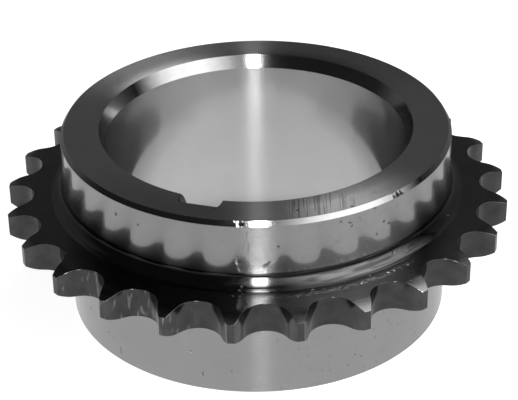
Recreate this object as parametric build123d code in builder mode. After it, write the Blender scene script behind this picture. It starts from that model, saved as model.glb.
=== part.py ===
"""Chain sprocket: a toothed ring between two bored hubs, cut from one piece of steel.

Millimetres. The origin is on the bore axis, in the middle plane of the toothed ring.
+Z runs along the axis towards the shorter hub. The keyway lies on the -Y side.
"""
from build123d import *
from math import asin, cos, pi, radians, sin, sqrt
import os

# Chain and teeth
chain_pitch = 9.525            # 3/8 inch roller chain
roller_diameter = 6.35
tooth_count = 25
seat_radius = 3.5              # round bottom of each tooth gap, a little over the roller's
seating_angle = 130            # how much of the gap that round bottom takes, in degrees
tooth_rise = 1.1               # from the pitch circle to the tips
land_width = 1.0               # flat left along each tip
tooth_turn = 11.3              # degrees from the keyway to the tooth beside it

# Toothed ring
ring_width = 4.6
relief_length = 3.0            # both faces slope in over this distance to the tips
relief_depth = 0.75            # what each slope takes off the width at the tips

# Hubs
upper_hub_radius = 30.1
upper_hub_height = 10.4
lower_hub_radius = 29.7
lower_hub_height = 14.6
upper_foot_radius = 2.0        # fillet where the upper hub meets the ring
lower_foot_bevel = 0.8         # bevel in the corner under the ring
upper_rim_drop = 0.7           # bevel round the upper face, along the axis
upper_rim_step = 0.5           # and across it
lower_rim_bevel = 0.25

# Bore
bore_radius = 23.15
mouth_drop = 1.95              # lead-in at the upper end, along the axis
mouth_step = 1.05              # and across it
lower_mouth_bevel = 0.6

# Keyway, open at both ends of the bore
keyway_width = 4.7
keyway_depth = 2.95            # from the bore wall to the flat floor

# Knocked-off corner between one keyway wall and the mouth of the bore
knock_along_wall = 2.0
knock_along_mouth = 1.3
knock_depth = 2.4
knock_taper = 20               # degrees, so that the break runs out as it goes down

# Sizes that follow
pitch_radius = chain_pitch / (2 * sin(pi / tooth_count))
root_radius = pitch_radius - roller_diameter / 2
tip_radius = pitch_radius + tooth_rise
ring_top = ring_width / 2
upper_face = ring_top + upper_hub_height
lower_face = -ring_top - lower_hub_height
gap_step = 360 / tooth_count
keyway_floor = bore_radius + keyway_depth
corner_x = -keyway_width / 2
corner_y = -sqrt((bore_radius + mouth_step) ** 2 - corner_x**2)

# Half section as turned on the lathe, drawn from the bore outwards and down
with BuildSketch(Plane.XZ) as section:
    with BuildLine():
        Polyline(
            (bore_radius, upper_face - mouth_drop),
            (bore_radius + mouth_step, upper_face),
            (upper_hub_radius - upper_rim_step, upper_face),
            (upper_hub_radius, upper_face - upper_rim_drop),
            (upper_hub_radius, ring_top),
            (tip_radius - relief_length, ring_top),
            (tip_radius, ring_top - relief_depth),
            (tip_radius, relief_depth - ring_top),
            (tip_radius - relief_length, -ring_top),
            (lower_hub_radius, -ring_top),
            (lower_hub_radius, lower_face + lower_rim_bevel),
            (lower_hub_radius - lower_rim_bevel, lower_face),
            (bore_radius + lower_mouth_bevel, lower_face),
            (bore_radius, lower_face + lower_mouth_bevel),
            close=True,
        )
    make_face()
    upper_foot = section.vertices().sort_by_distance((upper_hub_radius, ring_top))[0]
    fillet(upper_foot, upper_foot_radius)
    lower_foot = section.vertices().sort_by_distance((lower_hub_radius, -ring_top))[0]
    chamfer(lower_foot, lower_foot_bevel)

# One tooth gap, opening along +X: a round seat, then two flanks that curve out to the tips
seat_centre = root_radius + seat_radius
seat_end_angle = 180 - seating_angle / 2
corner_angle = radians(gap_step / 2) - asin(land_width / 2 / tip_radius)
tip_corner = (tip_radius * cos(corner_angle), tip_radius * sin(corner_angle))
clear_radius = tip_radius + 2
clear_corner = (clear_radius * cos(corner_angle), clear_radius * sin(corner_angle))
with BuildSketch() as gap:
    with BuildLine() as half_outline:
        seat = CenterArc((seat_centre, 0), seat_radius, 180, -seating_angle / 2)
        flank = TangentArc(seat @ 1, tip_corner, tangent=seat % 1)
        Line(tip_corner, clear_corner)
        Line(clear_corner, (clear_corner[0], 0))
        mirror(half_outline.line, about=Plane.XZ)
    make_face()

with BuildPart() as sprocket:
    add(section.sketch)
    revolve(axis=Axis.Z)

    with BuildSketch(Plane.XY.offset(-ring_top)):
        with PolarLocations(0, tooth_count, start_angle=tooth_turn - gap_step / 2 - 90):
            add(gap.sketch)
    extrude(amount=ring_width, mode=Mode.SUBTRACT)

    with BuildSketch(Plane.XY.offset(lower_face)):
        with Locations((0, -keyway_floor / 2)):
            Rectangle(keyway_width, keyway_floor)
    extrude(amount=upper_face - lower_face, mode=Mode.SUBTRACT)

    with BuildSketch(Plane.XY.offset(upper_face)):
        with BuildLine():
            Polyline(
                (corner_x, corner_y - knock_along_wall),
                (corner_x - knock_along_mouth, corner_y),
                (corner_x - knock_along_mouth, corner_y + knock_along_wall),
                (corner_x + knock_along_mouth, corner_y),
                close=True,
            )
        make_face()
    extrude(amount=-knock_depth, taper=knock_taper, mode=Mode.SUBTRACT)

sprocket.part.label = "sprocket"

os.makedirs("parts", exist_ok=True)
export_step(sprocket.part, "parts/sprocket.step")
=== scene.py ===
import math
import bpy
import numpy as np
from mathutils import Matrix, Vector


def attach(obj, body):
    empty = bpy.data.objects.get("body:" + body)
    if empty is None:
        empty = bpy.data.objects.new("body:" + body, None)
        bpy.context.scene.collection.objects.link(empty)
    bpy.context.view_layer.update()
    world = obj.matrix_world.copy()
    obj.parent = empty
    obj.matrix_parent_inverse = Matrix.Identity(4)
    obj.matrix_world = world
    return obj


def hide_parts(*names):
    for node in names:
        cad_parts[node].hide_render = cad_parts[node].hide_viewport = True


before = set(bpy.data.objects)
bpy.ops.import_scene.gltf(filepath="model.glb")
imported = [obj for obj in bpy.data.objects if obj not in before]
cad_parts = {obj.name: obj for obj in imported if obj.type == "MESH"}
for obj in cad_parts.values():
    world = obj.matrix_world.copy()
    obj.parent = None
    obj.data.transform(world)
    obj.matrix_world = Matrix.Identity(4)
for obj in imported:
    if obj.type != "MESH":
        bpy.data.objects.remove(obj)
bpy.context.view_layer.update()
print("frame loaded")

mm = 0.001
viewTurn = 17.1                # degrees from the keyway round to the side that the camera looks at


def hexToLinear(code):
    # sRGB to linear: c / 12.92 below 0.04045, else ((c + 0.055) / 1.055) ^ 2.4
    values = [int(code[i:i + 2], 16) / 255 for i in (0, 2, 4)]
    linear = [v / 12.92 if v <= 0.04045 else ((v + 0.055) / 1.055) ** 2.4 for v in values]
    return (*linear, 1.0)


def addNode(tree, kind, settings=None, **links):
    # one node: settings are its properties and input values, links are sockets that feed its inputs
    node = tree.nodes.new(kind)
    for name, value in (settings or {}).items():
        if isinstance(name, int) or name in node.inputs:
            node.inputs[name].default_value = value
        else:
            setattr(node, name, value)
    for name, source in links.items():
        key = int(name[1:]) if name[0] == "i" and name[1:].isdigit() else name.replace("_", " ")
        tree.links.new(source, node.inputs[key])
    return node


def directionTo(azimuth, elevation):
    # unit vector: azimuth runs from the camera's side towards its right, elevation above the floor
    a, e = math.radians(azimuth + viewTurn), math.radians(elevation)
    return Vector((math.sin(a) * math.cos(e), -math.cos(a) * math.cos(e), math.sin(e)))


# millimetres and degrees
sprocketValues = {
    "toothCount": 25,
    "chainPitch": 9.525,
    "rollerDiameter": 6.35,
    "seatRadius": 3.5,
    "seatingAngle": 130,       # how much of a tooth gap its round bottom takes
    "toothRise": 1.1,          # from the pitch circle to the tips
    "landWidth": 1.0,          # flat along each tip
    "toothTurn": 11.3,         # from the keyway to the tooth beside it
    "ringHalf": 2.3,
    "reliefLength": 3.0,       # the ring's faces slope in over this distance to the tips
    "reliefDepth": 0.75,
    "upperRadius": 30.1,
    "upperFace": 12.7,
    "lowerRadius": 29.7,
    "lowerFace": -16.9,
    "footRadius": 2.0,         # fillet where the upper hub meets the ring
    "footBevel": 0.8,          # bevel in the corner under the ring
    "rimDrop": 0.7,            # bevel round the upper face, along the axis and across it
    "rimStep": 0.5,
    "lowerRimBevel": 0.25,
    "boreRadius": 23.15,
    "mouthDrop": 1.95,         # lead-in at the upper end of the bore, along the axis and across it
    "mouthStep": 1.05,
    "lowerMouthBevel": 0.6,
    "keyHalf": 2.35,           # half the keyway's width
    "keyFloor": 26.1,          # from the axis to its flat floor
    "slack": 0.01,             # points this close to a wall count as on it
    "edgeBreak": 0.03,
    "knockAlongWall": 2.0,     # broken corner between the keyway's left wall and the mouth of the bore
    "knockAlongMouth": 1.3,
    "knockTaper": 20,
    "knockRim": 0.2,           # how far the break stays below the upper face, at its ends and more in its middle
    "knockLip": 0.75,
    "knockSlope": 1.1,
    "knockSector": (-30, -3.4),    # degrees from the keyway between which the break may reach
    "creaseAngle": 9,          # sharper edges than this are drawn sharp
    # rows and columns of the mesh
    "seatColumns": 14,
    "flankColumns": 6,
    "landColumns": 2,
    "keyColumns": (3.6, 6.4),  # degrees from the keyway's middle between which its walls take their points
    "boreRows": 8,
    "knockRows": (2.8, 2.5, 2.2),    # below the upper face
    "mouthRows": 9,
    "faceRows": 4,
    "faceStart": 26.7,         # radius of the first round row outside the keyway
    "wallRow": 1.0,            # rows this far from the rim and the fillet hold the wall straight
    "filletRows": 22,
    "ringRows": (33.0, 34.0),
    "reliefRows": (0.3, 0.6, 0.85),
    "underRows": (0.7, 0.35),
    "shoulderGap": 0.05,       # least distance between a tooth's edge and the row inside it
    "lowerFaceRow": 27.5,
    "supportGap": 0.04,        # rows this close to a fillet hold the flat beside it flat
}


def toothOutline(v):
    # half a gap: seat arc (c + s cos p, s sin p), then an arc tangent to it up to the tip corner,
    # then the tip circle; mirrored in x and turned by a tooth step for every tooth
    step = math.radians(360 / v["toothCount"])
    pitchRadius = v["chainPitch"] / (2 * math.sin(step / 2))
    tipRadius = pitchRadius + v["toothRise"]
    seatCentre = pitchRadius - v["rollerDiameter"] / 2 + v["seatRadius"]
    p = np.radians(180 - np.linspace(0, v["seatingAngle"] / 2, v["seatColumns"] + 1))
    seat = np.stack([seatCentre + v["seatRadius"] * np.cos(p), v["seatRadius"] * np.sin(p)], 1)
    cornerAngle = step / 2 - math.asin(v["landWidth"] / 2 / tipRadius)
    corner = tipRadius * np.array([math.cos(cornerAngle), math.sin(cornerAngle)])
    start = seat[-1]
    inward = (np.array([seatCentre, 0]) - start) / v["seatRadius"]
    chord = corner - start
    turn = chord @ chord / (2 * inward @ chord)      # radius of the tangent arc, measured along inward
    centre = start + inward * turn
    a0, a1 = [math.atan2(*(q - centre)[::-1]) for q in (start, corner)]
    sweep = (a1 - a0 + math.pi) % (2 * math.pi) - math.pi
    a = a0 + sweep * np.linspace(0, 1, v["flankColumns"] + 1)[1:]
    flank = centre + abs(turn) * np.stack([np.cos(a), np.sin(a)], 1)
    b = np.linspace(cornerAngle, step / 2, v["landColumns"] + 1)[1:]
    land = tipRadius * np.stack([np.cos(b), np.sin(b)], 1)
    half = np.concatenate([seat, flank, land])
    whole = np.concatenate([half[:0:-1] * [1, -1], half[:-1]])
    whole = whole[1:] if np.allclose(whole[0], whole[-1]) else whole
    radius = np.hypot(whole[:, 0], whole[:, 1])
    angle = np.arctan2(whole[:, 1], whole[:, 0])
    first = math.radians(v["toothTurn"] - 90) - step / 2
    angles = (first + step * np.arange(v["toothCount"])[:, None] + angle[None, :]).ravel()
    return angles, np.tile(radius, v["toothCount"])


def fromKeyway(angles):
    # degrees from the keyway, -180 to 180: (angle + 270) mod 360 - 180
    return np.degrees((angles + 1.5 * math.pi) % (2 * math.pi) - math.pi)


def boreOutline(v, angles, radius):
    # circle of that radius, broken by the keyway: straight walls at x = +-keyHalf, floor at y = -keyFloor
    u = fromKeyway(angles)
    narrow, wide = v["keyColumns"]
    edges = [u[np.argmin(np.abs(u - t))] for t in (-wide, -narrow, narrow, wide)]
    reach = math.degrees(math.asin(v["keyHalf"] / radius))
    mouthY = math.sqrt(radius ** 2 - v["keyHalf"] ** 2)
    arc = np.where(
        u > 0,
        reach + (u - edges[3]) * (180 - reach) / (180 - edges[3]),
        -reach + (u - edges[0]) * (180 - reach) / (180 + edges[0]),
    )
    x = radius * np.sin(np.radians(arc))
    y = -radius * np.cos(np.radians(arc))
    floor = (u >= edges[1]) & (u <= edges[2])
    x = np.where(floor, v["keyHalf"] * (2 * (u - edges[1]) / (edges[2] - edges[1]) - 1), x)
    y = np.where(floor, -v["keyFloor"], y)
    left = (u > edges[0]) & (u < edges[1])
    right = (u > edges[2]) & (u < edges[3])
    along = np.where(left, (u - edges[0]) / (edges[1] - edges[0]), (edges[3] - u) / (edges[3] - edges[2]))
    x = np.where(left, -v["keyHalf"], np.where(right, v["keyHalf"], x))
    y = np.where(left | right, -(mouthY + along * (v["keyFloor"] - mouthY)), y)
    x = np.where(u == edges[0], -v["keyHalf"], np.where(u == edges[3], v["keyHalf"], x))
    return np.stack([x, y], 1)


def knockCorner(v, angles, xy, z):
    # pushes points that stand past the broken corner back onto it: s <= min(d tan taper, slope d - lip),
    # s measured across the break, d down from the upper face, lip = rim + knockLip (1 - q^2), q -1 to 1 along it
    u = fromKeyway(angles)
    corner = np.array([-v["keyHalf"], -math.sqrt((v["boreRadius"] + v["mouthStep"]) ** 2 - v["keyHalf"] ** 2)])
    foot = corner - [0, v["knockAlongWall"]]
    along = corner - [v["knockAlongMouth"], 0] - foot
    length = np.linalg.norm(along)
    along = along / length
    across = np.array([along[1], -along[0]])
    s = (xy - foot) @ across
    q = 2 * (xy - foot) @ along / length - 1
    d = v["upperFace"] - z
    lip = v["knockRim"] + v["knockLip"] * np.clip(1 - q ** 2, 0, 1)
    limit = np.minimum(d * math.tan(math.radians(v["knockTaper"])), v["knockSlope"] * d - lip)
    first, last = v["knockSector"]
    leftOfKeyway = (u > first) & (u < last) & (xy[:, 0] < -v["keyHalf"] + v["slack"])
    return xy - across * (np.maximum(0, s - limit) * leftOfKeyway)[:, None]


# bands of the section, in the order of their finishes
wallBand, faceBand, ringBand, flankBand, boreBand, bevelBand, filletBand, skirtBand = range(8)


def makeSprocket(v):
    # rings of one point per column, joined by quads: position = ring(column), section runs bore,
    # upper face, wall, foot, ring, teeth, underside, lower wall and lower face, and closes on itself
    angles, outline = toothOutline(v)
    unit = np.stack([np.cos(angles), np.sin(angles)], 1)
    edge = v["edgeBreak"]
    tip = outline.max()
    reliefStart = tip - v["reliefLength"]
    toothXY = unit * outline[:, None]
    along = np.roll(toothXY, -1, 0) - np.roll(toothXY, 1, 0)
    out = np.stack([along[:, 1], -along[:, 0]], 1)
    out /= np.linalg.norm(out, axis=1)[:, None]
    half, top, low = v["ringHalf"], v["upperFace"], v["lowerFace"]
    rings, kinds = [], []

    def ring(xy, z, kind):
        # kind: the band that follows this ring
        rings.append(np.concatenate([xy, np.broadcast_to(np.reshape(z, (-1, 1)), (len(xy), 1))], 1))
        kinds.append(kind)

    def circle(radius, z, kind):
        ring(unit * radius, z, kind)

    def reliefZ(xy):
        # half - depth * (distance past the start of the relief / length) ^ 2
        return half - v["reliefDepth"] * (np.maximum(0, np.hypot(*xy.T) - reliefStart) / v["reliefLength"]) ** 2

    bore = v["boreRadius"]
    firstKnock, *moreKnocks = [top - d for d in v["knockRows"]]
    boreHeights = np.linspace(low + v["lowerMouthBevel"], firstKnock, v["boreRows"])
    for z in np.append(boreHeights, [*moreKnocks, top - v["mouthDrop"]]):
        ring(knockCorner(v, angles, boreOutline(v, angles, bore), z), z, boreBand)
    kinds[-1] = bevelBand
    for t in np.linspace(0, 1, v["mouthRows"])[1:]:
        z = top - v["mouthDrop"] * (1 - t)
        ring(knockCorner(v, angles, boreOutline(v, angles, bore + v["mouthStep"] * t), z), z, bevelBand)
    kinds[-1] = faceBand
    for r in np.linspace(v["faceStart"], v["upperRadius"] - v["rimStep"], v["faceRows"]):
        circle(r, top, faceBand)
    kinds[-1] = bevelBand
    rim = top - v["rimDrop"]
    foot = half + v["footRadius"]
    for z in (rim, rim - v["wallRow"], foot + v["wallRow"], foot + v["supportGap"]):
        circle(v["upperRadius"], z, wallBand)
    for t in np.linspace(0, math.pi / 2, v["filletRows"] + 1):
        circle(v["upperRadius"] + v["footRadius"] * (1 - math.cos(t)),
               foot - v["footRadius"] * math.sin(t), filletBand)
    kinds[-1] = ringBand
    for r in (v["upperRadius"] + v["footRadius"] + v["supportGap"], *v["ringRows"]):
        circle(r, half, ringBand)
    inner = toothXY - out * (edge + v["shoulderGap"])
    start = unit * np.minimum(reliefStart, np.hypot(*inner.T))[:, None]
    ring(start, half, ringBand)
    shoulder = toothXY - out * edge
    for t in v["reliefRows"]:
        ring(start + (shoulder - start) * t, reliefZ(start + (shoulder - start) * t), ringBand)
    ring(shoulder, reliefZ(shoulder), ringBand)
    ring(toothXY, reliefZ(toothXY) - edge, flankBand)
    ring(toothXY, edge - reliefZ(toothXY), flankBand)
    ring(shoulder, -reliefZ(shoulder), ringBand)
    for t in v["underRows"]:
        ring(start + (shoulder - start) * t, -reliefZ(start + (shoulder - start) * t), ringBand)
    ring(start, -half, ringBand)
    for r in (*v["ringRows"][::-1], v["lowerRadius"] + v["footBevel"]):
        circle(r, -half, ringBand)
    circle(v["lowerRadius"], -half - v["footBevel"], skirtBand)
    circle(v["lowerRadius"], (low - half) / 2, skirtBand)
    circle(v["lowerRadius"], low + v["lowerRimBevel"], skirtBand)
    circle(v["lowerRadius"] - v["lowerRimBevel"], low, faceBand)
    circle(v["lowerFaceRow"], low, faceBand)
    circle(v["faceStart"], low, faceBand)
    ring(boreOutline(v, angles, bore + v["lowerMouthBevel"]), low, bevelBand)

    points = np.stack(rings)
    rows, columns = points.shape[:2]
    i, j = np.meshgrid(np.arange(rows), np.arange(columns), indexing="ij")
    ni, nj = (i + 1) % rows, (j + 1) % columns
    quads = np.stack([i * columns + j, ni * columns + j, ni * columns + nj, i * columns + nj], -1)
    return points.reshape(-1, 3) * mm, quads.reshape(-1, 4), np.repeat(kinds, columns)


def fillMesh(name, points, quads, kinds, creaseAngle):
    # one object at the origin: points and quads as given, smooth but for edges sharper than the crease angle
    mesh = bpy.data.meshes.new(name)
    mesh.vertices.add(len(points))
    mesh.vertices.foreach_set("co", points.ravel())
    mesh.loops.add(quads.size)
    mesh.loops.foreach_set("vertex_index", quads.ravel())
    mesh.polygons.add(len(quads))
    mesh.polygons.foreach_set("loop_start", np.arange(len(quads)) * 4)
    mesh.polygons.foreach_set("material_index", kinds)
    mesh.update(calc_edges=True)
    mesh.validate()
    mesh.shade_smooth()
    mesh.set_sharp_from_angle(angle=math.radians(creaseAngle))
    piece = bpy.data.objects.new(name, mesh)
    bpy.context.scene.collection.objects.link(piece)
    return piece


points, quads, kinds = makeSprocket(sprocketValues)
sprocket = fillMesh("sprocketBody", points, quads, kinds, sprocketValues["creaseAngle"])
print("sprocket mesh:", len(quads), "quads")


# millimetres, and shares of a noise or of a mark's half size
patternValues = {
    "lineTurn": 3,             # how quickly a tool line changes along its way round
    "noiseSpread": (0.25, 0.75),    # values of a noise that give its darkest and lightest tone
    "markEdge": (0.35, 1.15),  # a mark fades out between these
    "raggedCount": 3.5,        # bumps per millimetre along the outline of a mark
    "raggedReach": 0.5,
    "tipToneReach": 1.9,            # from the tips inwards
    "sectorCore": 0.6,         # share of a sector that is scuffed in full
    "scuffEdge": 0.08,         # how far past the threshold a scuff shows in full
    "strokeWidth": 0.3,        # of straight scuffs
    "rollReach": (-0.2, 2.6),  # outwards from the mouth of the bore
}


def addMarks(tree, place, marks):
    # nearness of the closest mark: 1 at its middle, 0 past its edge; distance = |(p - middle) / half size|,
    # middle = (radius sin azimuth, -radius cos azimuth, height)
    nearest = None
    for azimuth, radius, z, width, height in marks:
        a = math.radians(azimuth)
        middle = Vector((radius * math.sin(a), -radius * math.cos(a), z)) * mm
        off = addNode(tree, "ShaderNodeVectorMath", {"operation": "SUBTRACT", 1: middle}, i0=place)
        scaled = addNode(tree, "ShaderNodeVectorMath", {
            "operation": "MULTIPLY", 1: (1 / width / mm, 1 / width / mm, 1 / height / mm)}, i0=off.outputs["Vector"])
        length = addNode(tree, "ShaderNodeVectorMath", {"operation": "LENGTH"}, i0=scaled.outputs["Vector"])
        if nearest is None:
            nearest = length.outputs["Value"]
        else:
            nearest = addNode(tree, "ShaderNodeMath", {"operation": "MINIMUM"},
                              i0=nearest, i1=length.outputs["Value"]).outputs["Value"]
    core, end = patternValues["markEdge"]
    edge = addNode(tree, "ShaderNodeMapRange", {
        "From Min": core, "From Max": end, "To Min": 1.0, "To Max": 0.0, "interpolation_type": "SMOOTHSTEP"},
        Value=nearest)
    return edge.outputs["Result"]


mouthRadius = sprocketValues["boreRadius"] + sprocketValues["mouthStep"]
tipRadius = float(np.hypot(points[:, 0], points[:, 1]).max()) / mm


def metalMaterial(name, values):
    # roughness = smooth between the tool lines and rough on them; the lines are finer than a pixel,
    # so they are drawn as grains, a share of which is rough
    v = patternValues
    material = bpy.data.materials.new(name)
    material.use_nodes = True
    tree = material.node_tree
    tree.nodes.clear()
    place = addNode(tree, "ShaderNodeTexCoord").outputs["Object"]
    parts = addNode(tree, "ShaderNodeSeparateXYZ", Vector=place)
    flat = addNode(tree, "ShaderNodeCombineXYZ", X=parts.outputs["X"], Y=parts.outputs["Y"])
    radius = addNode(tree, "ShaderNodeVectorMath", {"operation": "LENGTH"}, i0=flat.outputs["Vector"])
    outward = addNode(tree, "ShaderNodeVectorMath", {"operation": "NORMALIZE"}, i0=flat.outputs["Vector"])

    # tool lines run round the axis: a noise long that way and short across, across = radius + z
    across = addNode(tree, "ShaderNodeMath", {"operation": "ADD"},
                     i0=radius.outputs["Value"], i1=parts.outputs["Z"])
    acrossLines = addNode(tree, "ShaderNodeMath", {"operation": "DIVIDE", 1: values["lineWidth"] * mm},
                          i0=across.outputs["Value"])
    onLines = addNode(tree, "ShaderNodeVectorMath", {
        "operation": "MULTIPLY", 1: (v["lineTurn"], v["lineTurn"], 0)}, i0=outward.outputs["Vector"])
    linePlace = addNode(tree, "ShaderNodeSeparateXYZ", Vector=onLines.outputs["Vector"])
    lineVector = addNode(tree, "ShaderNodeCombineXYZ", X=linePlace.outputs["X"], Y=linePlace.outputs["Y"],
                         Z=acrossLines.outputs["Value"])
    lines = addNode(tree, "ShaderNodeTexNoise", {"Scale": 1.0, "Detail": 1.0}, Vector=lineVector.outputs["Vector"])

    # clouds of a slightly darker and lighter tone, a few millimetres across
    clouds = addNode(tree, "ShaderNodeTexNoise", {"Scale": 1 / (values["cloudSize"] * mm), "Detail": 3.0},
                     Vector=place)
    dark, light = v["noiseSpread"]
    cloudTone = addNode(tree, "ShaderNodeMapRange", {
        "From Min": dark, "From Max": light, "To Min": 1 - values["cloudDepth"], "To Max": 1 + values["cloudDepth"]},
        Value=clouds.outputs["Fac"])
    lineTone = addNode(tree, "ShaderNodeMapRange", {
        "From Min": dark, "From Max": light, "To Min": 1 - values["lineDepth"], "To Max": 1 + values["lineDepth"]},
        Value=lines.outputs["Fac"])
    tone = addNode(tree, "ShaderNodeMath", {"operation": "MULTIPLY"},
                   i0=cloudTone.outputs["Result"], i1=lineTone.outputs["Result"]).outputs["Value"]

    # nicks and dirt specks, their outlines made ragged by a small noise
    ragged = addNode(tree, "ShaderNodeTexNoise", {"Scale": v["raggedCount"] / mm, "Detail": 2.0}, Vector=place)
    centred = addNode(tree, "ShaderNodeVectorMath", {"operation": "SUBTRACT", 1: (0.5, 0.5, 0.5)},
                      i0=ragged.outputs["Color"])
    shift = addNode(tree, "ShaderNodeVectorMath", {"operation": "SCALE", "Scale": v["raggedReach"] * mm},
                    i0=centred.outputs["Vector"])
    torn = addNode(tree, "ShaderNodeVectorMath", {"operation": "ADD"}, i0=place, i1=shift.outputs["Vector"])
    mark = addMarks(tree, torn.outputs["Vector"], values["marks"])
    markTone = addNode(tree, "ShaderNodeMapRange", {"To Min": 1.0, "To Max": values["markTone"]}, Value=mark)
    tone = addNode(tree, "ShaderNodeMath", {"operation": "MULTIPLY"},
                   i0=tone, i1=markTone.outputs["Result"]).outputs["Value"]

    # lighter towards the tooth tips
    tipTone = addNode(tree, "ShaderNodeMapRange", {
        "From Min": (tipRadius - v["tipToneReach"]) * mm, "From Max": tipRadius * mm, "To Min": 1.0,
        "To Max": values["tipTone"], "interpolation_type": "SMOOTHSTEP"}, Value=radius.outputs["Value"])
    tone = addNode(tree, "ShaderNodeMath", {"operation": "MULTIPLY"},
                   i0=tone, i1=tipTone.outputs["Result"]).outputs["Value"]

    # scuffs: lines in one sector, where a noise passes a threshold; they run round the axis or straight across
    scuff = {**plainScuffs, **values["scuffs"]}
    a = math.radians(scuff["azimuth"])
    facing = addNode(tree, "ShaderNodeVectorMath", {"operation": "DOT_PRODUCT", 1: (math.sin(a), -math.cos(a), 0)},
                     i0=outward.outputs["Vector"])
    sector = addNode(tree, "ShaderNodeMapRange", {
        "From Min": math.cos(math.radians(scuff["halfWidth"])),
        "From Max": math.cos(math.radians(scuff["halfWidth"] * v["sectorCore"])),
        "interpolation_type": "SMOOTHSTEP"}, Value=facing.outputs["Value"])
    length = scuff["length"] * mm
    if scuff["straight"]:
        scuffPlace = addNode(tree, "ShaderNodeMapping", {
            "vector_type": "TEXTURE", "Rotation": (0, 0, math.radians(viewTurn)),
            "Scale": (v["strokeWidth"] * mm, length, length)}, Vector=place)
    else:
        wayRound = addNode(tree, "ShaderNodeVectorMath", {"operation": "SCALE", "Scale": scuff["around"]},
                           i0=outward.outputs["Vector"])
        wayAcross = addNode(tree, "ShaderNodeMath", {"operation": "DIVIDE", 1: length},
                            i0=across.outputs["Value"])
        roundParts = addNode(tree, "ShaderNodeSeparateXYZ", Vector=wayRound.outputs["Vector"])
        scuffPlace = addNode(tree, "ShaderNodeCombineXYZ", X=roundParts.outputs["X"], Y=roundParts.outputs["Y"],
                             Z=wayAcross.outputs["Value"])
    scuffNoise = addNode(tree, "ShaderNodeTexNoise", {"Scale": 1.0, "Detail": 1.0},
                         Vector=scuffPlace.outputs["Vector"])
    scuffLine = addNode(tree, "ShaderNodeMapRange", {
        "From Min": scuff["threshold"], "From Max": scuff["threshold"] + v["scuffEdge"]},
        Value=scuffNoise.outputs["Fac"])
    inSector = addNode(tree, "ShaderNodeMath", {"operation": "MULTIPLY"},
                       i0=scuffLine.outputs["Result"], i1=sector.outputs["Result"])
    near = addNode(tree, "ShaderNodeMath", {"operation": "COMPARE", 1: scuff["radius"] * mm, 2: scuff["reach"] * mm},
                   i0=radius.outputs["Value"])
    scuffed = addNode(tree, "ShaderNodeMath", {"operation": "MULTIPLY"},
                      i0=inSector.outputs["Value"], i1=near.outputs["Value"]).outputs["Value"]
    scuffTone = addNode(tree, "ShaderNodeMapRange", {"To Min": 1.0, "To Max": scuff["tone"]}, Value=scuffed)
    tone = addNode(tree, "ShaderNodeMath", {"operation": "MULTIPLY"},
                   i0=tone, i1=scuffTone.outputs["Result"]).outputs["Value"]
    color = addNode(tree, "ShaderNodeVectorMath", {"operation": "SCALE", 0: hexToLinear(values["color"])[:3]},
                    Scale=tone)

    # height of the tool lines and depth of the marks and scuffs, in metres
    lineHeight = addNode(tree, "ShaderNodeMath", {"operation": "MULTIPLY", 1: values["lineHeight"] * mm},
                         i0=lines.outputs["Fac"])
    markDepth = addNode(tree, "ShaderNodeMath", {"operation": "MULTIPLY", 1: -values["markDepth"] * mm}, i0=mark)
    scuffDepth = addNode(tree, "ShaderNodeMath", {"operation": "MULTIPLY_ADD", 1: -scuff["depth"] * mm},
                         i0=scuffed, i2=markDepth.outputs["Value"])
    height = addNode(tree, "ShaderNodeMath", {"operation": "ADD"},
                     i0=lineHeight.outputs["Value"], i1=scuffDepth.outputs["Value"])
    # the face next to the mouth of the bore rolls down a little: depth * (share of the way left) ^ 2
    rollStart, rollEnd = [(mouthRadius + reach) * mm for reach in v["rollReach"]]
    rolled = addNode(tree, "ShaderNodeMapRange", {
        "From Min": rollStart, "From Max": rollEnd, "To Min": 1.0, "To Max": 0.0}, Value=radius.outputs["Value"])
    rollDepth = addNode(tree, "ShaderNodeMath", {"operation": "POWER", 1: 2.0}, i0=rolled.outputs["Result"])
    total = addNode(tree, "ShaderNodeMath", {"operation": "MULTIPLY_ADD", 1: -values["rollDepth"] * mm},
                    i0=rollDepth.outputs["Value"], i2=height.outputs["Value"])
    bump = addNode(tree, "ShaderNodeBump", {"Strength": 1.0, "Distance": 1.0}, Height=total.outputs["Value"])

    # rough on a share of the grains and on the marks
    grain = addNode(tree, "ShaderNodeTexWhiteNoise", {"noise_dimensions": "3D"}, Vector=place)
    line = addNode(tree, "ShaderNodeMath", {"operation": "LESS_THAN", 1: values["roughShare"]},
                   i0=grain.outputs["Value"])
    worn = addNode(tree, "ShaderNodeMath", {"operation": "MAXIMUM"}, i0=line.outputs["Value"], i1=mark)
    rough = addNode(tree, "ShaderNodeMapRange",
                    {"To Min": values["roughLow"], "To Max": values["roughHigh"]},
                    Value=worn.outputs["Value"])
    shader = addNode(tree, "ShaderNodeBsdfPrincipled", {
        "Metallic": 1.0, "Anisotropic": values["anisotropic"], "Anisotropic Rotation": 0.25,
    }, Roughness=rough.outputs["Result"], Base_Color=color.outputs["Vector"], Normal=bump.outputs["Normal"])
    around = addNode(tree, "ShaderNodeTangent", {"direction_type": "RADIAL", "axis": "Z"})
    tree.links.new(around.outputs["Tangent"], shader.inputs["Tangent"])
    addNode(tree, "ShaderNodeOutputMaterial", Surface=shader.outputs["BSDF"])
    return material


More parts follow.
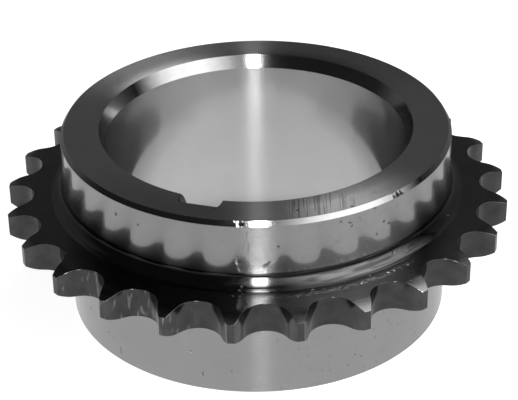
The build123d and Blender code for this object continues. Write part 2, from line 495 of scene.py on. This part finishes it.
# marks: azimuth, radius and height of the middle, half width and half height;
# sizes in millimetres, azimuths in degrees from the keyway; radius and reach say which faces the scuffs are on
plainScuffs = {"straight": False, "radius": 30, "reach": 20}
plainFinish = {"roughShare": 0.5, "anisotropic": 1.0, "tipTone": 1, "rollDepth": 0}
finishValues = {
    # ground bearing steel: lines round the axis stretch every reflection up and down, and leave it crisp sideways
    "groundWallSteel": {
        "color": "a8a8a8", "roughLow": 0.07, "roughHigh": 0.25,
        "lineWidth": 0.12, "lineHeight": 0.0006, "lineDepth": 0.02, "cloudSize": 5.0, "cloudDepth": 0.03,
        "markTone": 0.5, "markDepth": 0.05,
        "scuffs": {"azimuth": 55, "halfWidth": 40, "around": 60, "length": 0.8,
                   "threshold": 0.68, "tone": 0.8, "depth": 0.001},
        "marks": [
            (-25.4, 30.1, 9.83, 0.26, 0.23), (-17.4, 30.1, 9.5, 0.17, 0.17), (7.56, 30.1, 9.59, 0.16, 0.16),
            (11.89, 30.1, 6.24, 0.35, 0.53), (12.24, 30.1, 5.08, 0.3, 0.35), (11.52, 30.1, 7.07, 0.17, 0.17),
            (14.31, 30.1, 10.58, 0.07, 0.7), (14.53, 30.1, 8.6, 0.07, 0.94), (14.71, 30.1, 5.94, 0.07, 0.58),
            (19.27, 30.1, 5.57, 0.41, 0.35), (20.09, 30.1, 6.05, 0.3, 0.23), (22.69, 30.1, 8.62, 0.23, 0.3),
            (22.31, 30.1, 9.46, 0.14, 0.14), (40.2, 30.1, 11.19, 0.23, 0.14), (42.93, 30.1, 10.64, 0.35, 0.17),
            (43.57, 30.1, 10.05, 0.17, 0.17), (50.96, 30.1, 11.81, 0.23, 0.23), (54.25, 30.1, 9.02, 0.23, 0.17),
            (56.14, 30.1, 8.31, 0.3, 0.17), (59.25, 30.1, 7.81, 0.17, 0.23), (51.85, 30.1, 7.31, 0.17, 0.17),
            (50.16, 30.1, 6.78, 0.17, 0.14), (66.53, 30.1, 8.67, 0.14, 0.23),
        ],
    },
    # face-turned bearing steel: rings round the bore, so a lamp shows as a streak across them
    "turnedFaceSteel": {
        "color": "a8a8a8", "roughLow": 0.2, "roughHigh": 0.26,
        "lineWidth": 0.2, "lineHeight": 0.0008, "lineDepth": 0.03, "cloudSize": 4.0, "cloudDepth": 0.04,
        "rollDepth": 0.28, "markTone": 0.25, "markDepth": 0.05,
        "scuffs": {"straight": True, "azimuth": 36, "halfWidth": 13, "length": 14,
                   "threshold": 0.53, "tone": 0.6, "depth": 0.0012},
        "marks": [
            (-20.98, 25.89, 12.7, 0.22, 1), (29.01, 27.3, 12.7, 0.3, 1), (28.1, 26.64, 12.7, 0.15, 1),
            (44.57, 29.14, 12.7, 0.25, 1), (-20.98, 28.74, 12.7, 0.12, 1), (45.47, 26.47, 12.7, 0.15, 1),
            (46.16, 27.31, 12.7, 0.15, 1), (54.48, 27.68, 12.7, 0.15, 1),
        ],
    },
    # oil-blackened steel: nearly black, with the lathe's rings still glossy
    "blackenedRingSteel": {
        "color": "505050", "roughLow": 0.16, "roughHigh": 0.28, "roughShare": 0.3, "anisotropic": 0.6,
        "lineWidth": 0.25, "lineHeight": 0.0025, "lineDepth": 0.1, "cloudSize": 3.0, "cloudDepth": 0.12,
        "tipTone": 3.2, "markTone": 3.0, "markDepth": 0.2,
        "scuffs": {"azimuth": 40, "halfWidth": 24, "radius": 33.2, "reach": 0.45, "around": 45, "length": 0.25,
                   "threshold": 0.47, "tone": 2.8, "depth": 0.004},
        "marks": [
            (-36.65, 35.13, 2.3, 0.18, 1), (10.85, 32.89, 2.3, 0.2, 1), (11.69, 32.08, 2.3, 0.2, 1),
            (12.57, 32.82, 2.3, 0.2, 1), (13.25, 32.29, 2.3, 0.25, 1), (26.63, 33.67, 2.3, 0.3, 1),
            (30.93, 32.41, 2.3, 0.3, 1), (30.1, 33.08, 2.3, 0.15, 1), (33.69, 32.62, 2.3, 0.2, 1),
            (37.56, 33.15, 2.3, 0.3, 1), (43.22, 33.54, 2.3, 0.25, 1), (46.87, 32.31, 2.3, 0.3, 1),
            (51.44, 33.1, 2.3, 0.3, 1), (57.76, 33.31, 2.3, 0.25, 1), (53.53, 36.71, 2.3, 0.2, 1),
            (53.22, 33.2, 2.3, 0.3, 1),
        ],
    },
    # milled and hardened steel: grey-brown scale that the cutter's strokes cross, from face to face
    "milledFlankSteel": {
        "color": "4b4b4b", "roughLow": 0.13, "roughHigh": 0.3, "roughShare": 0.3, "anisotropic": 0.0,
        "lineWidth": 0.4, "lineHeight": 0.002, "lineDepth": 0.06, "cloudSize": 2.0, "cloudDepth": 0.22,
        "tipTone": 1.3, "markTone": 0.4, "markDepth": 0.08,
        "scuffs": {"azimuth": -16, "halfWidth": 20, "around": 90, "length": 2.5,
                   "threshold": 0.6, "tone": 2.6, "depth": 0.004},
        "marks": [
            (-37.4, 36.2, -3.83, 0.2, 0.25), (-25.91, 36.2, 1.71, 0.15, 0.15), (-26.52, 36.2, 0, 0.25, 0.2),
            (-25.53, 36.2, -0.25, 0.2, 0.25), (33.4, 36.2, 0.7, 0.45, 0.35), (31.79, 36.2, 0.23, 0.15, 0.15),
            (34.59, 36.2, 1.05, 0.15, 0.15), (47.7, 36.2, 1.04, 0.15, 0.3), (45.58, 36.2, 0.14, 0.25, 0.2),
            (47.77, 36.2, -0.33, 0.2, 0.2), (54.8, 36.2, -1.71, 0.15, 0.15), (19.13, 36.2, -0.69, 0.2, 0.15),
        ],
    },
    # honed bearing steel: the brightest and smoothest of the faces
    "honedBoreSteel": {
        "color": "a8a8a8", "roughLow": 0.07, "roughHigh": 0.31,
        "lineWidth": 0.12, "lineHeight": 0.0004, "lineDepth": 0.02, "cloudSize": 5.0, "cloudDepth": 0.03,
        "markTone": 0.5, "markDepth": 0.03,
        "scuffs": {"azimuth": 200, "halfWidth": 60, "around": 60, "length": 0.6,
                   "threshold": 0.72, "tone": 0.85, "depth": 0.001},
        "marks": [(-158.72, 23.15, 1, 0.15, 0.15), (169.55, 23.15, 5, 0.12, 0.3)],
    },
    # turned bevel left bright by the tool: mirrors lamps as one smooth band
    "turnedBevelSteel": {
        "color": "bcbcbc", "roughLow": 0.09, "roughHigh": 0.18, "roughShare": 0.4, "anisotropic": 0.8,
        "lineWidth": 0.15, "lineHeight": 0.0006, "lineDepth": 0.03, "cloudSize": 2.5, "cloudDepth": 0.08,
        "markTone": 0.12, "markDepth": 0.03,
        "scuffs": {"azimuth": 69, "halfWidth": 15, "around": 7, "length": 0.14,
                   "threshold": 0.5, "tone": 0.3, "depth": 0.002},
        "marks": [
            (11.29, 29.32, 12.35, 0.41, 1), (12.47, 29.82, 12.35, 0.47, 1), (13.48, 29.26, 12.35, 0.34, 1),
            (20.32, 29.35, 12.35, 0.27, 1), (58.24, 30.05, 12.35, 0.34, 1), (59.63, 29.95, 12.35, 0.41, 1),
            (61.02, 29.87, 12.35, 0.27, 1),
        ],
    },
    # form-turned fillet, its colour darker than the wall's as painted shade in the corner between the hub and the
    # ring
    "turnedFilletSteel": {
        "color": "646464", "roughLow": 0.08, "roughHigh": 0.16, "roughShare": 0.3, "anisotropic": 0.5,
        "lineWidth": 0.3, "lineHeight": 0.002, "lineDepth": 0.3, "cloudSize": 2.5, "cloudDepth": 0.08,
        "markTone": 1.6, "markDepth": 0.06,
        "scuffs": {"azimuth": 46, "halfWidth": 28, "around": 5, "length": 0.16,
                   "threshold": 0.5, "tone": 0.5, "depth": 0.002},
        "marks": [
            (63.35, 30.88, 2.75, 0.2, 1), (61.26, 30.88, 2.75, 0.15, 1), (68.85, 30.01, 2.75, 0.3, 1),
            (57.4, 30.42, 2.75, 0.2, 1), (61.06, 30.38, 2.75, 0.12, 1), (59.72, 30.44, 2.75, 0.15, 1),
            (-6.92, 30.37, 2.3, 0.2, 1), (-6.81, 29.5, 2.3, 0.25, 1), (-5.82, 29.57, 2.3, 0.2, 1),
            (12.82, 31, 2.3, 0.15, 1), (84.63, 31.21, 2.3, 0.2, 1),
        ],
    },
}
# the same steel below the teeth, its colour a little darker as painted shade from the ring above, and less rough, so
# the strip lamp only shows there as a faint column
finishValues["groundSkirtSteel"] = {
    **finishValues["groundWallSteel"], "color": "a2a2a2", "roughHigh": 0.2,
    "marks": [
        (-2.99, 29.7, -10.41, 0.21, 0.15), (0.69, 29.7, -14.16, 0.18, 0.6), (-16.45, 29.7, -14.5, 0.15, 0.15),
        (-43.2, 29.7, -11.32, 0.21, 0.38), (-33.17, 29.7, -12.91, 0.18, 0.18), (-30.83, 29.7, -13.4, 0.22, 0.18),
        (-27.89, 29.7, -14.86, 0.15, 0.75), (45.65, 29.7, -12.79, 0.21, 0.18), (43.38, 29.7, -14.29, 0.18, 0.15),
        (47.74, 29.7, -13.45, 0.15, 0.15), (33.68, 29.7, -16.34, 0.15, 0.15), (23.39, 29.7, -16.37, 0.15, 0.15),
        (52.21, 29.7, -9.48, 0.18, 0.15), (9.22, 29.7, -13.03, 0.12, 0.12), (-7.22, 29.7, -12.94, 0.12, 0.12),
    ],
}
for name, values in finishValues.items():
    sprocket.data.materials.append(metalMaterial(name, {**plainFinish, **values}))
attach(sprocket, "root")
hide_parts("sprocket")
print("sprocket finished")


# metres, and brightness with 1 for white
floorValues = {
    "halfWidth": 3.0,
    "litColor": "e6e6e6",
    "dimColor": "202020",
    "roughness": 0.12,
    "cameraGlow": 0.92,        # what the camera sees beside the lamps' own light near the sprocket
    "aroundGlow": 0.82,        # what polished steel mirrors outside the bore; inside it a painted pool of light, frontGlow at the front rising to backGlow at the back
    "frontGlow": 1.18,
    "backGlow": 1.38,
    "footShade": 0.36,         # painted shade: how much darker the floor glow is at the foot of the bore's wall
    "footReach": (0.015, 0.022),    # distances from the axis between which that shade sets in
    "footFront": -0.014,       # it fades out from the middle to here, towards the camera's side
    "deepFront": 1.7,          # share that comes back over several walls: painted light from the bright part, painted shade from the dim part
    "deepBack": 0.15,
    "middleEdge": 0.003,       # the bright part is the front half, with an edge this wide either side of the middle
    "sideSlope": 2.64,         # and the sides, where sideSlope * sideways - depth passes sideEdge
    "sideEdge": (0.0387, 0.0413),
    "boreReach": 0.033,        # floor that only the bore's wall mirrors, as distance from the middle of the ring
    "boardRadius": 0.08,       # the painted pool of light and the painted pale colour under it fade out from here
    "boardEdge": 0.12,
    "outerGlow": 0.16,
}
floorZ = sprocketValues["lowerFace"] * mm
half = floorValues["halfWidth"]
corners = [(-half, -half, floorZ), (half, -half, floorZ), (half, half, floorZ), (-half, half, floorZ)]
floorMesh = bpy.data.meshes.new("floor")
floorMesh.from_pydata(corners, [], [(0, 1, 2, 3)])
floor = bpy.data.objects.new("floor", floorMesh)
bpy.context.scene.collection.objects.link(floor)
# white acrylic sheet: the camera sees an even white glow that keeps the object's shadow, while polished steel
# mirrors a painted glow, a painted pool of light round the sprocket with painted light and shade inside the bore;
# the sheet's own colour is painted pale on that pool and dark past it
floorMaterial = bpy.data.materials.new("whiteAcrylicFloor")
floorMaterial.use_nodes = True
tree = floorMaterial.node_tree
tree.nodes.clear()
place = addNode(tree, "ShaderNodeTexCoord")
depth = addNode(tree, "ShaderNodeVectorMath", {"operation": "DOT_PRODUCT", 1: directionTo(180, 0)},
                i0=place.outputs["Object"])
boreMetres = sprocketValues["boreRadius"] * mm
# painted light inside the bore: the mirrored floor grows brighter from front to back
rise = addNode(tree, "ShaderNodeMapRange",
               {"From Min": -boreMetres, "From Max": boreMetres, "To Min": floorValues["frontGlow"],
                "To Max": floorValues["backGlow"]}, Value=depth.outputs["Value"])
path = addNode(tree, "ShaderNodeLightPath")
flatPlace = addNode(tree, "ShaderNodeVectorMath", {"operation": "MULTIPLY", 1: (1, 1, 0)},
                    i0=place.outputs["Object"])
fromAxis = addNode(tree, "ShaderNodeVectorMath", {"operation": "LENGTH"}, i0=flatPlace.outputs["Vector"])
sideways = addNode(tree, "ShaderNodeVectorMath", {"operation": "DOT_PRODUCT", 1: directionTo(90, 0)},
                   i0=place.outputs["Object"])
aside = addNode(tree, "ShaderNodeMath", {"operation": "ABSOLUTE"}, i0=sideways.outputs["Value"])
slopedAside = addNode(tree, "ShaderNodeMath", {"operation": "MULTIPLY", 1: floorValues["sideSlope"]},
                      i0=aside.outputs["Value"])
toSide = addNode(tree, "ShaderNodeMath", {"operation": "SUBTRACT"},
                 i0=slopedAside.outputs["Value"], i1=depth.outputs["Value"])
# painted light and shade for light that comes over several walls: bright in the front half and at the sides, dark
# behind the middle
nearSide = addNode(tree, "ShaderNodeMapRange",
                   {"From Min": floorValues["sideEdge"][0], "From Max": floorValues["sideEdge"][1],
                    "interpolation_type": "SMOOTHSTEP"}, Value=toSide.outputs["Value"])
nearFront = addNode(tree, "ShaderNodeMapRange",
                    {"From Min": -floorValues["middleEdge"], "From Max": floorValues["middleEdge"],
                     "To Min": 1.0, "To Max": 0.0, "interpolation_type": "SMOOTHSTEP"},
                    Value=depth.outputs["Value"])
lit = addNode(tree, "ShaderNodeMath", {"operation": "MAXIMUM"},
              i0=nearSide.outputs["Result"], i1=nearFront.outputs["Result"])
deep = addNode(tree, "ShaderNodeMapRange",
               {"To Min": floorValues["deepBack"], "To Max": floorValues["deepFront"]}, Value=lit.outputs["Value"])
# ray depth 2 and more: light on its way over two walls or more
second = addNode(tree, "ShaderNodeMath", {"operation": "GREATER_THAN", 1: 1.5}, i0=path.outputs["Ray Depth"])
bounced = addNode(tree, "ShaderNodeMix", {"data_type": "FLOAT", 2: 1.0},
                  i0=second.outputs["Value"], i3=deep.outputs["Result"])
# painted shadow on the bore's floor at the foot of its wall, behind the middle
wallFoot = addNode(tree, "ShaderNodeMapRange",
                   {"From Min": floorValues["footReach"][0], "From Max": floorValues["footReach"][1],
                    "To Min": 0.0, "To Max": floorValues["footShade"], "interpolation_type": "SMOOTHSTEP"},
                   Value=fromAxis.outputs["Value"])
behindMiddle = addNode(tree, "ShaderNodeMapRange",
                       {"From Min": floorValues["footFront"], "From Max": 0.0,
                        "interpolation_type": "SMOOTHSTEP"}, Value=depth.outputs["Value"])
footShade = addNode(tree, "ShaderNodeMath", {"operation": "MULTIPLY"},
                    i0=wallFoot.outputs["Result"], i1=behindMiddle.outputs["Result"])
unshaded = addNode(tree, "ShaderNodeMath", {"operation": "SUBTRACT", 0: 1.0}, i1=footShade.outputs["Value"])
openGlow = addNode(tree, "ShaderNodeMath", {"operation": "MULTIPLY"},
                   i0=rise.outputs["Result"], i1=unshaded.outputs["Value"])
paintedBoreLight = addNode(tree, "ShaderNodeMath", {"operation": "MULTIPLY"},
                   i0=openGlow.outputs["Value"], i1=bounced.outputs["Result"])
reach = addNode(tree, "ShaderNodeVectorMath", {"operation": "LENGTH"}, i0=place.outputs["Object"])
inside = addNode(tree, "ShaderNodeMath", {"operation": "LESS_THAN", 1: floorValues["boreReach"]},
                 i0=reach.outputs["Value"])
local = addNode(tree, "ShaderNodeMix", {"data_type": "FLOAT", 2: floorValues["aroundGlow"]},
                i0=inside.outputs["Value"], i3=paintedBoreLight.outputs["Value"])
# painted pool of light round the sprocket, for what polished steel mirrors and for the sheet's colour
board = addNode(tree, "ShaderNodeMapRange",
                {"From Min": floorValues["boardRadius"], "From Max": floorValues["boardEdge"],
                 "To Min": 1.0, "To Max": floorValues["outerGlow"], "interpolation_type": "SMOOTHSTEP"},
                Value=reach.outputs["Value"])
mirrored = addNode(tree, "ShaderNodeMath", {"operation": "MAXIMUM"},
                   i0=path.outputs["Is Glossy Ray"], i1=path.outputs["Is Transmission Ray"])
glow = addNode(tree, "ShaderNodeMath", {"operation": "MULTIPLY"},
               i0=local.outputs["Result"], i1=board.outputs["Result"])
mirrorLight = addNode(tree, "ShaderNodeEmission", Strength=glow.outputs["Value"])
cameraGlow = addNode(tree, "ShaderNodeMapRange", {"To Min": 1.0, "To Max": floorValues["cameraGlow"]},
                     Value=board.outputs["Result"])
cameraPart = addNode(tree, "ShaderNodeMath", {"operation": "MULTIPLY"},
                     i0=path.outputs["Is Camera Ray"], i1=cameraGlow.outputs["Result"])
cameraLight = addNode(tree, "ShaderNodeEmission", Strength=cameraPart.outputs["Value"])
# painted pool of light: the sheet's colour is pale on the board and dark past it
tone = addNode(tree, "ShaderNodeMix",
               {"data_type": "RGBA", 6: hexToLinear(floorValues["dimColor"]),
                7: hexToLinear(floorValues["litColor"])}, i0=board.outputs["Result"])
sheet = addNode(tree, "ShaderNodeBsdfPrincipled", {"Roughness": floorValues["roughness"]})
tree.links.new(tone.outputs[2], sheet.inputs["Base Color"])
shown = addNode(tree, "ShaderNodeAddShader", i0=sheet.outputs["BSDF"], i1=cameraLight.outputs["Emission"])
total = addNode(tree, "ShaderNodeMixShader", i0=mirrored.outputs["Value"],
                i1=shown.outputs["Shader"], i2=mirrorLight.outputs["Emission"])
addNode(tree, "ShaderNodeOutputMaterial", Surface=total.outputs["Shader"])
floorMesh.materials.append(floorMaterial)


# metres and degrees; radiance is the strength of the emission, and soft edges are shares of the width or height
panelValues = {
    "stripPanel": {
        "leanAzimuths": (-1.7, 2.6), "leans": (16, 60), "slant": 0, "radius": 1.0, "radiance": 25.0,
        "softSides": 0.08, "softLow": 0.08, "softHigh": 0.6, "lightsDiffuse": False,
    },
    "keyPanel": {
        "leanAzimuths": (-4, 52), "leans": (18, 88), "slant": 15, "radius": 1.05, "radiance": 2.1,
        "softSides": 0.45, "softLow": 0.14, "softHigh": 0.1, "lightsDiffuse": True,
    },
}
panelColumns = 32
panelRows = 16
lineElevation = 30             # of the camera's line from the sprocket, rounded


def makePanel(name, values):
    # point = radius * r with r = 2 (n . v) n - v: where a polished surface facing n mirrors the camera's line v,
    # n given by its azimuth from the camera's side and its lean up from level; strength falls to 0 at the soft edge
    across, up = np.meshgrid(np.linspace(0, 1, panelColumns + 1), np.linspace(0, 1, panelRows + 1))
    slanted = values["leanAzimuths"][0] + across * np.ptp(values["leanAzimuths"]) + values["slant"] * up
    a = np.radians(slanted + viewTurn)
    e = np.radians(values["leans"][0] + up * np.ptp(values["leans"]))
    facing = np.stack([np.sin(a) * np.cos(e), -np.cos(a) * np.cos(e), np.sin(e)], -1)
    line = np.array(directionTo(0, lineElevation))
    points = values["radius"] * (2 * (facing @ line)[..., None] * facing - line)
    i, j = np.meshgrid(np.arange(panelRows), np.arange(panelColumns), indexing="ij")
    low, high = i * (panelColumns + 1) + j, (i + 1) * (panelColumns + 1) + j
    quads = np.stack([low, high, high + 1, low + 1], -1).reshape(-1, 4)
    mesh = bpy.data.meshes.new(name)
    mesh.from_pydata(points.reshape(-1, 3).tolist(), [], quads.tolist())
    mesh.uv_layers.new(name="panel").uv.foreach_set(
        "vector", np.stack([across.ravel(), up.ravel()], 1)[quads.ravel()].ravel())
    panel = bpy.data.objects.new(name, mesh)
    bpy.context.scene.collection.objects.link(panel)
    # white diffuser cloth before a lamp: an even glow that dies away at the edges
    material = bpy.data.materials.new(name + "Cloth")
    material.use_nodes = True
    tree = material.node_tree
    tree.nodes.clear()
    place = addNode(tree, "ShaderNodeUVMap", {"uv_map": "panel"})
    parts = addNode(tree, "ShaderNodeSeparateXYZ", Vector=place.outputs["UV"])
    edges = []
    sides, bottom, top = values["softSides"], values["softLow"], values["softHigh"]
    for axis, low, high in (("X", sides, sides), ("Y", bottom, top)):
        rise = addNode(tree, "ShaderNodeMapRange", {"From Max": low, "interpolation_type": "SMOOTHSTEP"},
                       Value=parts.outputs[axis])
        fall = addNode(tree, "ShaderNodeMapRange", {
            "From Min": 1 - high, "To Min": 1.0, "To Max": 0.0, "interpolation_type": "SMOOTHSTEP"},
            Value=parts.outputs[axis])
        edges.append(addNode(tree, "ShaderNodeMath", {"operation": "MULTIPLY"},
                             i0=rise.outputs["Result"], i1=fall.outputs["Result"]))
    both = addNode(tree, "ShaderNodeMath", {"operation": "MULTIPLY"},
                   i0=edges[0].outputs["Value"], i1=edges[1].outputs["Value"])
    strength = addNode(tree, "ShaderNodeMath", {"operation": "MULTIPLY", 1: values["radiance"]},
                       i0=both.outputs["Value"])
    glow = addNode(tree, "ShaderNodeEmission", Strength=strength.outputs["Value"])
    addNode(tree, "ShaderNodeOutputMaterial", Surface=glow.outputs["Emission"])
    mesh.materials.append(material)
    panel.visible_camera = False
    panel.visible_shadow = False
    panel.visible_diffuse = values["lightsDiffuse"]


for name, values in panelValues.items():
    makePanel(name, values)

# a dark studio with a pale wall behind the object
worldValues = {
    "dim": 0.016,
    "backGlow": 0.1,
    "wallSide": (0.1, 0.7),    # the wall sets in between these cosines of the angle from straight behind
    "wallTop": (0.62, 0.74),   # and ends between these sines of the elevation
}
world = bpy.data.worlds.new("studio")
bpy.context.scene.world = world
world.use_nodes = True
tree = world.node_tree
tree.nodes.clear()
path = addNode(tree, "ShaderNodeLightPath")
place = addNode(tree, "ShaderNodeTexCoord")
behind = addNode(tree, "ShaderNodeVectorMath", {"operation": "DOT_PRODUCT", 1: directionTo(180, 0)},
                 i0=place.outputs["Generated"])
side = addNode(tree, "ShaderNodeMapRange",
               {"From Min": worldValues["wallSide"][0], "From Max": worldValues["wallSide"][1],
                "interpolation_type": "SMOOTHSTEP"}, Value=behind.outputs["Value"])
height = addNode(tree, "ShaderNodeSeparateXYZ", Vector=place.outputs["Generated"])
low = addNode(tree, "ShaderNodeMapRange",
              {"From Min": worldValues["wallTop"][0], "From Max": worldValues["wallTop"][1],
               "To Min": 1.0, "To Max": 0.0, "interpolation_type": "SMOOTHSTEP"}, Value=height.outputs["Z"])
wall = addNode(tree, "ShaderNodeMath", {"operation": "MULTIPLY"},
               i0=side.outputs["Result"], i1=low.outputs["Result"])
glow = addNode(tree, "ShaderNodeMapRange",
               {"To Min": worldValues["dim"], "To Max": worldValues["dim"] + worldValues["backGlow"]},
               Value=wall.outputs["Value"])
strength = addNode(tree, "ShaderNodeMath", {"operation": "MAXIMUM"},
                   i0=glow.outputs["Result"], i1=path.outputs["Is Camera Ray"])
background = addNode(tree, "ShaderNodeBackground", {"Color": (1, 1, 1, 1)}, Strength=strength.outputs["Value"])
addNode(tree, "ShaderNodeOutputWorld", Surface=background.outputs["Background"])
print("floor, lights and world set")


cameraValues = {
    "lens": 122.74,            # millimetres, on a sensor this wide
    "sensorWidth": 36,
    "clip": (0.01, 20),        # metres
    "distance": 9.2747,        # in upper hub radii
    "elevation": 30.2593,
    "roll": -0.9094,
    "aimRight": 0.0099,        # from the middle of the upper face, in upper hub radii
    "aimUp": -0.4604,
}
hub = sprocketValues["upperRadius"] * mm
back = directionTo(0, cameraValues["elevation"])
turn = math.radians(viewTurn)
aim = Vector((math.cos(turn), math.sin(turn), 0)) * cameraValues["aimRight"] * hub
aim.z = cameraValues["aimUp"] * hub + sprocketValues["upperFace"] * mm
right = (-back).cross(Vector((0, 0, 1))).normalized()
up = right.cross(-back)
roll = math.radians(cameraValues["roll"])
rolledRight = math.cos(roll) * right + math.sin(roll) * up
rolledUp = math.cos(roll) * up - math.sin(roll) * right
axes = Matrix((rolledRight, rolledUp, back)).transposed().to_4x4()
cameraData = bpy.data.cameras.new("camera")
cameraData.lens = cameraValues["lens"]
cameraData.sensor_width = cameraValues["sensorWidth"]
cameraData.clip_start, cameraData.clip_end = cameraValues["clip"]
camera = bpy.data.objects.new("camera", cameraData)
camera.matrix_world = Matrix.Translation(aim + back * cameraValues["distance"] * hub) @ axes
bpy.context.scene.collection.objects.link(camera)
bpy.context.scene.camera = camera
bpy.context.scene.view_settings.view_transform = "Standard"
print("camera set")
